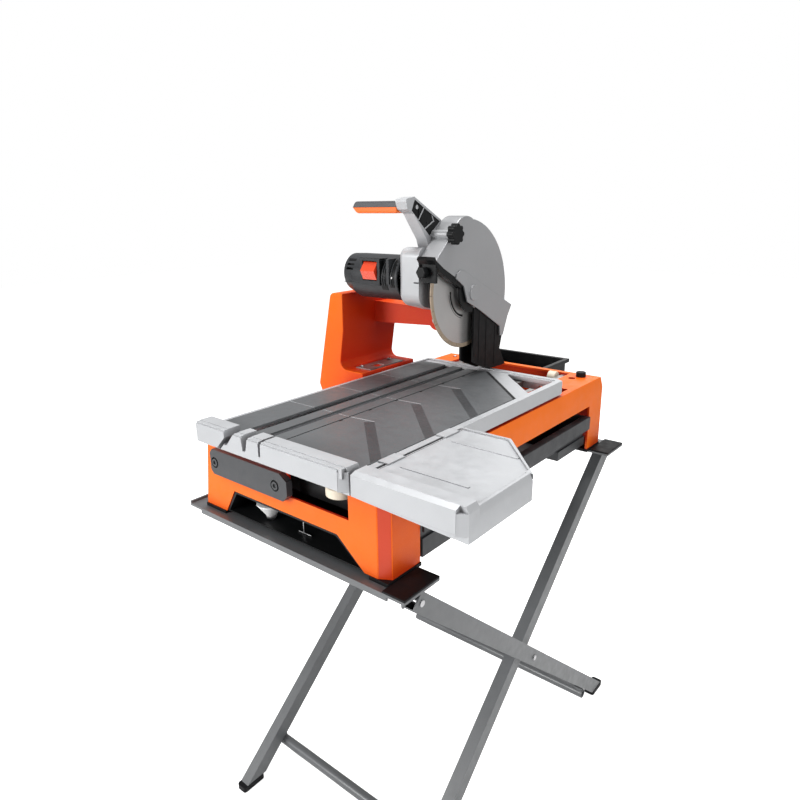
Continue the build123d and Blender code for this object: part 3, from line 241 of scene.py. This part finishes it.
tan_rim = finish("tan_diamond_rim", (0.42, 0.33, 0.24), 0.6, tone=0.15, tone_scale=60, grain=2500,
                 grain_height=0.0001)
mat_band = finish("mat_band", (0.050, 0.052, 0.055), 0.40, tone=0.15, tone_scale=20, grain=1500)
# painted shade: a deeper red for the frame's cut corner face, which lies in shade
corner_painted_shade = finish("corner_painted_shade", (0.60, 0.040, 0.002), 0.42, tone=0.04, grain=900, grain_height=0.00003,
                    coat=0.2)
off_white = finish("white_mark", (0.85, 0.85, 0.85), 0.4, tone=0.03, grain=900)


# ---------------------------------------------------------------- CAD nodes that keep their shape
def rounded(node, width, segments):
    """Softens a CAD node's edges with modifiers, width in millimetres."""
    thing = frame["nodes"][node]
    weld = thing.modifiers.new("weld", "WELD")
    weld.merge_threshold = 1e-6
    planar = thing.modifiers.new("planar", "DECIMATE")
    planar.decimate_type = "DISSOLVE"
    planar.angle_limit = radians(0.5)
    edge = thing.modifiers.new("edge", "BEVEL")
    edge.width = width * MM
    edge.segments = segments
    edge.limit_method = "ANGLE"
    edge.angle_limit = radians(28)
    for polygon in thing.data.polygons:
        polygon.use_smooth = True
    normals = thing.modifiers.new("normals", "WEIGHTED_NORMAL")
    normals.keep_sharp = True


# the larger nodes have their own edge width, and every other node the plain one
PLAIN_EDGE = 0.7
edge_widths = {"column": 2.5, "arm": 1.5, "base_frame": 1.6, "fence": 1.2, "extension_frame": 1.2,
               "blade_guard": 4.0, "motor_housing": 1.2, "gear_case": 1.2, "handle_bracket": 2.5,
               "guard_knob": 1.0, "foot_plate": 0.5, "stand_front_bar": 1.0, "stand_rear_bar": 1.0,
               "guard_arm": 0.8, "rear_tray": 1.2, "water_pan": 1.5}
slots = {part["node"]: part["material_slot"] for part in frame["record"]["subparts"]}
for node, thing in frame["nodes"].items():
    thing.data.materials.clear()
    thing.data.materials.append(finishes[slots[node]])
    rounded(node, edge_widths.get(node, PLAIN_EDGE), 3 if node in edge_widths else 2)


# ---------------------------------------------------------------- pieces made here
class Form:
    """A mesh under construction, in millimetres from the datum."""

    def __init__(self):
        self.mesh = bmesh.new()

    def loop(self, points):
        return [self.mesh.verts.new(at(*point)) for point in points]

    def bridge(self, first, second):
        count = len(first)
        for i in range(count):
            self.mesh.faces.new((first[i], first[(i + 1) % count], second[(i + 1) % count], second[i]))

    def solid(self, loops):
        """Skins a run of matching loops and caps its ends."""
        rings = [self.loop(points) for points in loops]
        for first, second in zip(rings, rings[1:]):
            self.bridge(first, second)
        self.mesh.faces.new(list(reversed(rings[0])))
        self.mesh.faces.new(rings[-1])

    def prism_x(self, outline, x0, x1):
        """An outline of (y, z) points pushed along x."""
        self.solid([[(x, y, z) for y, z in outline] for x in (x0, x1)])

    def prism_z(self, outline, z0, z1):
        self.solid([[(x, y, z) for x, y in outline] for z in (z0, z1)])

    def box(self, x0, x1, y0, y1, z0, z1):
        self.prism_z([(x0, y0), (x1, y0), (x1, y1), (x0, y1)], z0, z1)

    def turned(self, axis, centre, profile, sides):
        """A solid of revolution. profile is (distance along the axis, radius), centre is the axis origin."""
        loops = []
        for along, radius in profile:
            ring = []
            for i in range(sides):
                angle = 2 * pi * i / sides
                u, v = radius * cos(angle), radius * sin(angle)
                offset = {"x": (along, u, v), "y": (v, along, u), "z": (u, v, along)}[axis]
                ring.append(tuple(c + o for c, o in zip(centre, offset)))
            loops.append(ring)
        self.solid(loops)

    def arc_plate(self, centre, r0, r1, a0, a1, x0, x1, steps=24):
        """A curved plate round an axis parallel to x; angles in degrees from +y towards +z."""
        angles = [radians(a0 + (a1 - a0) * i / steps) for i in range(steps + 1)]

        def arc(radius, x):
            return self.loop((x, centre[0] + radius * cos(a), centre[1] + radius * sin(a)) for a in angles)

        near_in = arc(r0, x0)
        far_in = arc(r0, x1)
        near_out = arc(r1, x0)
        far_out = arc(r1, x1)
        for i in range(steps):
            self.mesh.faces.new((near_in[i], near_in[i + 1], near_out[i + 1], near_out[i]))
            self.mesh.faces.new((far_in[i], far_out[i], far_out[i + 1], far_in[i + 1]))
            self.mesh.faces.new((near_out[i], near_out[i + 1], far_out[i + 1], far_out[i]))
            self.mesh.faces.new((near_in[i], far_in[i], far_in[i + 1], near_in[i + 1]))
        for i in (0, steps):
            self.mesh.faces.new((near_in[i], near_out[i], far_out[i], far_in[i]))

    def piece(self, name, body, slot, look=None, edge=0.5, replaced=(), segments=2):
        """Ends the form: an object with softened edges that rides on a body. look stands in for the slot's
        own finish."""
        bmesh.ops.recalc_face_normals(self.mesh, faces=self.mesh.faces)
        data = bpy.data.meshes.new(name)
        self.mesh.to_mesh(data)
        self.mesh.free()
        for polygon in data.polygons:
            polygon.use_smooth = True
        data.materials.append(look or finishes[slot])
        thing = bpy.data.objects.new(name, data)
        bpy.context.scene.collection.objects.link(thing)
        if edge:
            bevel = thing.modifiers.new("edge", "BEVEL")
            bevel.width = edge * MM
            bevel.segments = segments
            bevel.limit_method = "ANGLE"
            bevel.angle_limit = radians(30)
        thing.modifiers.new("normals", "WEIGHTED_NORMAL").keep_sharp = True
        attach(thing, body)
        if replaced:
            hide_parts(*replaced)
        return thing


def bolt(form, axis, centre, radius, height, sign=1):
    """A screw head: chamfered rim, flat top and a sunk round socket. sign is the way it faces on its axis."""
    chamfer = 0.6
    profile = [(0, radius), (height - chamfer, radius), (height, radius - chamfer), (height, radius * 0.55),
               (height * 0.45, radius * 0.5)]
    form.turned(axis, centre, [(sign * along, r) for along, r in profile], 24)


# ---------------------------------------------------------------- table
MAT_FRONT = 35.5
MAT_REAR = 655
MAT_THICKNESS = 4
MAT_STRIPS = ((-168, -95), (-73, -45), (-30, -1.5))
JOINTS = (215.0, 353.0, 491.0)
JOINT_GAP = 0.9
CUT_CORNER = ((185, 506), (30, MAT_REAR))

mats = Form()
starts = [MAT_FRONT] + [y + JOINT_GAP for y in JOINTS]
ends = [y - JOINT_GAP for y in JOINTS] + [MAT_REAR]
for x0, x1 in MAT_STRIPS:
    for y0, y1 in zip(starts, ends):
        mats.box(x0, x1, y0, y1, -MAT_THICKNESS, 0)
mats.piece("mats_left_pads", "table", "grey_rubber", edge=0.7, replaced=("mats_left",))

right = Form()
right.prism_z([(1.5, MAT_FRONT), (185, MAT_FRONT), *CUT_CORNER, (1.5, MAT_REAR)], -MAT_THICKNESS, -0.1)
right.piece("mat_right_pad", "table", "grey_rubber", edge=0.7, replaced=("mat_right",))

bands = Form()
for y in JOINTS:
    top = y + 4
    bands.prism_z([(44, top - 13), (58, top), (184.4, top - 126), (184.4, top - 152)], -0.6, 0.0)
bands.piece("mat_bands", "table", "grey_rubber", look=mat_band, edge=0.1)

# black edging along the cut corner
strip = Form()
strip.prism_z([(185.2, 497), (185.2, 506.2), (30.2, 655.2), (20.5, 655.2)], -3.0, 0.0)
strip.piece("mat_corner_strip", "table", "black_rubber", edge=0.3)

lines = Form()
for y in JOINTS:
    for x0, x1 in MAT_STRIPS:
        lines.box(x0 + 1, x1 - 1, y - 0.7, y + 0.7, -3.9, -0.4)
    lines.prism_z([(3, y - 1), (3, y + 1), (57, y + 6), (58, y + 4)], -0.5, -0.02)
lines.piece("mat_joint_lines", "table", "cast_aluminium", edge=0.1)

TABS = 6
TAB_PITCH = 80
ticks = Form()
for i in range(TABS):
    y = 188 + TAB_PITCH * i
    ticks.prism_z([(1.9, y - 5), (5.4, y - 4), (5.4, y + 4), (1.9, y + 5)], -1.0, -0.02)
ticks.piece("slot_tabs", "table", "black_rubber", edge=0.2)

seams = Form()
seams.box(391.5, 392.6, 44, 172, -1.1, 2.15)
seams.box(208.2, 209.0, 45, 280, -1.1, -0.85)
seams.piece("extension_seams", "extension", "black_plastic", edge=0)

# ---------------------------------------------------------------- blade
core = Form()
core.arc_plate(HUB, 8.05, 118.2, 0, 359.999, -1.0, 1.0, 120)
core.piece("blade_core", "spindle", "blade_steel", edge=0, replaced=("blade",))

SEGMENTS = 24
SEGMENT_ANGLE = 360 / SEGMENTS
SEGMENT_GAP = 0.25
rim = Form()
for i in range(SEGMENTS):
    start = i * SEGMENT_ANGLE
    rim.arc_plate(HUB, 117.8, 126.9, start + SEGMENT_GAP, start + SEGMENT_ANGLE - SEGMENT_GAP, -1.3, 1.3, 8)
rim.piece("blade_rim", "spindle", "blade_steel", look=tan_rim, edge=0.2)

# three dark arcs near the hub, with a thin one outside each, on both faces
arcs = Form()
for i in range(3):
    turn = 120 * i
    for side in (-1.12, 1.02):
        arcs.arc_plate(HUB, 54, 58.5, 178 + turn, 262 + turn, side, side + 0.1)
        arcs.arc_plate(HUB, 61, 62.2, 184 + turn, 258 + turn, side, side + 0.1)
arcs.piece("blade_slots", "spindle", "black_plastic", edge=0)

# ---------------------------------------------------------------- motor
# The motor's axis, as (y, z).
MOTOR = (499.0, 225.5)
panel = Form()
panel.arc_plate(MOTOR, 46, 49.7, 128, 208, -121.5, -104.2)
panel.arc_plate(MOTOR, 46, 49.6, 124, 200, -96.8, -84.4)
panel.piece("motor_dark_panel", "head", "black_plastic", edge=0.4)

FLANGE_RIBS = 14
ribs = Form()
for x in (-118, -112, -93.5):
    ribs.arc_plate(MOTOR, 47, 51.3, 126, 196, x, x + 2.2)
for i in range(FLANGE_RIBS):
    angle = 62 + i * 8
    ribs.arc_plate((507, 233.5), 50, 53.4, angle, angle + 3.5, -84.6, -77.8, 3)
ribs.piece("motor_ribs", "head", "dark_plastic", edge=0.3)

switch_frame = Form()
for x0, x1 in ((-178.3, -170.4), (-129.6, -121.8)):
    switch_frame.box(x0, x1, 446.6, 462, 219, 266)
for z0, z1 in ((214, 219.5), (265, 269)):
    switch_frame.box(-178.3, -121.8, 447.2, 464, z0, z1)
switch_frame.piece("switch_frame", "head", "black_plastic", edge=1.2)

VENTS = 3
vents = Form()
for i in range(VENTS):
    z = 239.8 + 9 * i
    vents.box(-229.5, -206.5, 468, 472, z, z + 6)
vents.piece("vent_shadows", "head", "black_plastic", edge=0.2)

trim = Form()
trim.arc_plate(MOTOR, 47.5, 49.5, 150, 154, -233, -180, 6)
trim.arc_plate(MOTOR, 47.5, 49.4, 193, 194.5, -232, -184, 6)
trim.piece("motor_seams", "head", "dark_plastic", edge=0.2)

dot = Form()
dot.turned("y", (-91, 449.2, 229.5), [(0, 2.0), (-0.5, 2.4), (-1.0, 2.2), (-1.2, 1.2)], 20)
dot.piece("motor_dot", "head", "black_plastic", look=off_white, edge=0)

# ---------------------------------------------------------------- gear case and handle
seam = Form()
seam.box(-36, -23.2, 455.4, 457.5, 221, 223.6)
seam.piece("case_slot", "head", "black_plastic", edge=0.3)

strips = Form()
for outline in ([(472.6, 372), (475, 371), (457, 347.6), (454.6, 349)],
                [(499.5, 357), (502, 355.6), (509, 344), (506.5, 343)],
                [(478, 329.5), (476, 331.5), (505, 346), (507, 344)]):
    strips.prism_x(outline, -24, -22.35)
strips.piece("panel_ribs", "head", "cast_aluminium", edge=0.3)

spot = Form()
spot.turned("x", (-23.5, 451.5, 373.3), [(0, 4.2), (0.7, 4.2), (1.1, 3.4), (1.1, 2.0), (0.6, 1.4)], 24)
spot.piece("panel_screw", "head", "cast_aluminium", edge=0)

# ---------------------------------------------------------------- splash shield
# outline of a cheek as (y, z), up from its foot; the last four points are the rear edge
SHIELD = [(601, 155.5), (601, 32), (628, 20), (668, 4), (744, 2), (716, 46), (727, 84), (730, 149)]
SHIELD_LEFT = -19
SHIELD_RIGHT = 20
SHIELD_WALL = 5
shield = Form()
shield.prism_x(SHIELD, SHIELD_LEFT, SHIELD_LEFT + SHIELD_WALL)
shield.prism_x(SHIELD, SHIELD_RIGHT - SHIELD_WALL, SHIELD_RIGHT)
rear = SHIELD[4:]
rear_inside = [(y - SHIELD_WALL, z) for y, z in reversed(rear)]
shield.prism_x(rear + rear_inside, SHIELD_LEFT + SHIELD_WALL, SHIELD_RIGHT - SHIELD_WALL)
# ribs on the right cheek
for y0, y1, z0 in ((622, 627, 26), (652, 657, 14), (690, 695, 12)):
    shield.box(SHIELD_RIGHT, SHIELD_RIGHT + 0.9, y0, y1, z0, 148)
shield_piece = shield.piece("splash_shield_folds", "head", "black_rubber", edge=1.8,
                            replaced=("splash_shield",), segments=3)
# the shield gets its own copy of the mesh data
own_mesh(shield_piece)

# ---------------------------------------------------------------- frame details
# a thin plate over the frame's cut corner face, in the deeper red of painted shade
corner = Form()
corner.solid([[(188.5, 75.9, z), (206.4, 86.6, z), (206.0, 87.3, z), (188.0, 76.6, z)] for z in (-203, -62)])
corner.piece("corner_painted_shade_band", "base", "orange_paint", look=corner_painted_shade, edge=0.2)

wheel = Form()
rim_profile = [(0, 24), (1.5, 26.5), (9, 27), (16, 26.5), (18, 24), (18, 8), (16.5, 6)]
wheel.turned("z", (78, 107, -97), rim_profile, 48)
wheel.piece("guide_roller", "base", "nylon", edge=0)

# a black panel at the back of the frame's front recess; the recess is real, and its upper part, up under the
# fence, is painted shadow of the fence
hatch = Form()
hatch.box(-19, 124, 100, 103, -118, -40)
hatch.piece("recess_painted_shadow", "base", "black_plastic", edge=0.3)

funnel = Form()
funnel.turned("z", (-112, 104, -199), [(0, 9), (8, 11), (26, 24), (30, 27), (33, 27)], 40)
funnel.piece("funnel", "base", "zinc_steel", look=off_white, edge=0)

rod = Form()
rod.turned("z", (-16, 100, -200), [(0, 1.3), (38, 1.3)], 14)
rod.turned("x", (-30, 100, -199), [(0, 1.2), (34, 1.2)], 14)
rod.piece("drain_rod", "base", "steel", edge=0.2)

screws = Form()
for x, y in ((-222, 490), (-222, 590)):
    bolt(screws, "z", (x, y, 9), 5, 3)
for x, z in ((-300, -72), (-268, -72)):
    bolt(screws, "y", (x, 450, z), 5, 3.2, -1)
bolt(screws, "y", (-82, 600, 120), 11, 4, -1)
for x, y in ((-200, 110), (-215, 870), (160, 100)):
    bolt(screws, "z", (x, y, -36), 5, 2.6)
screws.piece("frame_screws", "base", "steel", edge=0)


# ---------------------------------------------------------------- floor, light and camera
def floor():
    bpy.ops.mesh.primitive_plane_add(size=24, location=(0, 0, -0.0005))
    ground = bpy.context.object
    ground.name = "floor"
    m = Nodes("pale_floor")
    cloud = m.noise(0.6, 2.0)
    pale = m.mix(m.spread(cloud, 0.0, 1.0), (0.93, 0.93, 0.93), (0.96, 0.96, 0.96))
    m.link(pale, m.shader.inputs["Base Color"])
    m.shader.inputs["Roughness"].default_value = 0.9
    m.shader.inputs["Emission Color"].default_value = (1.0, 1.0, 1.0, 1.0)
    # white where it is looked at, and dimmer where it lights the object
    rays = m.add("ShaderNodeLightPath")
    glow = m.spread(rays.outputs["Is Camera Ray"], 0.10, 0.80, 0.0, 1.0)
    m.link(glow, m.shader.inputs["Emission Strength"])
    ground.data.materials.append(m.material)


def area_light(name, location, target, size, power, colour=(1, 1, 1)):
    lamp = bpy.data.lights.new(name, "AREA")
    lamp.shape = "DISK"
    lamp.size = size
    lamp.energy = power
    lamp.color = colour
    holder = bpy.data.objects.new(name, lamp)
    holder.location = location
    holder.rotation_euler = (Vector(target) - Vector(location)).to_track_quat("-Z", "Y").to_euler()
    bpy.context.scene.collection.objects.link(holder)


def camera():
    """Seen from the front right, a little above the table."""
    azimuth, elevation, roll = 0.69140, 0.29282, -0.01250
    back = Vector((sin(azimuth) * cos(elevation), -cos(azimuth) * cos(elevation), sin(elevation)))
    right_hand = Vector((cos(azimuth), sin(azimuth), 0))
    up = back.cross(right_hand)
    turned_right = cos(roll) * right_hand + sin(roll) * up
    turned_up = -sin(roll) * right_hand + cos(roll) * up
    lens = bpy.data.cameras.new("camera")
    lens.sensor_width = 36
    lens.lens = 29.215
    lens.clip_end = 60
    holder = bpy.data.objects.new("camera", lens)
    holder.matrix_world = Matrix.Translation(at(809.2, -614.8, 379.2)) @ Matrix(
        (turned_right, turned_up, back)).transposed().to_4x4()
    bpy.context.scene.collection.objects.link(holder)
    bpy.context.scene.camera = holder


def studio():
    scene = bpy.context.scene
    scene.view_settings.view_transform = "Standard"
    world = bpy.data.worlds.new("studio")
    world.use_nodes = True
    tree = world.node_tree
    # the backdrop is white where it is looked at, and dimmer where it lights the object
    background = tree.nodes["Background"]
    background.inputs["Color"].default_value = (1.0, 1.0, 1.0, 1.0)
    rays = tree.nodes.new("ShaderNodeLightPath")
    level = tree.nodes.new("ShaderNodeMapRange")
    level.inputs["To Min"].default_value = 0.38
    level.inputs["To Max"].default_value = 1.0
    tree.links.new(rays.outputs["Is Camera Ray"], level.inputs["Value"])
    tree.links.new(level.outputs["Result"], background.inputs["Strength"])
    scene.world = world
    area_light("overhead", (-0.2, 0.3, 3.4), (0, 0, 0.9), 1.6, 70)
    area_light("key", (-1.2, -3.0, 1.7), (-0.1, -0.1, 0.9), 1.1, 72)
    area_light("fill", (3.0, -0.6, 1.7), (0, 0, 0.9), 1.4, 26)
    area_light("back", (-0.8, 3.2, 2.4), (0, 0, 0.8), 1.8, 12)


floor()
studio()
camera()
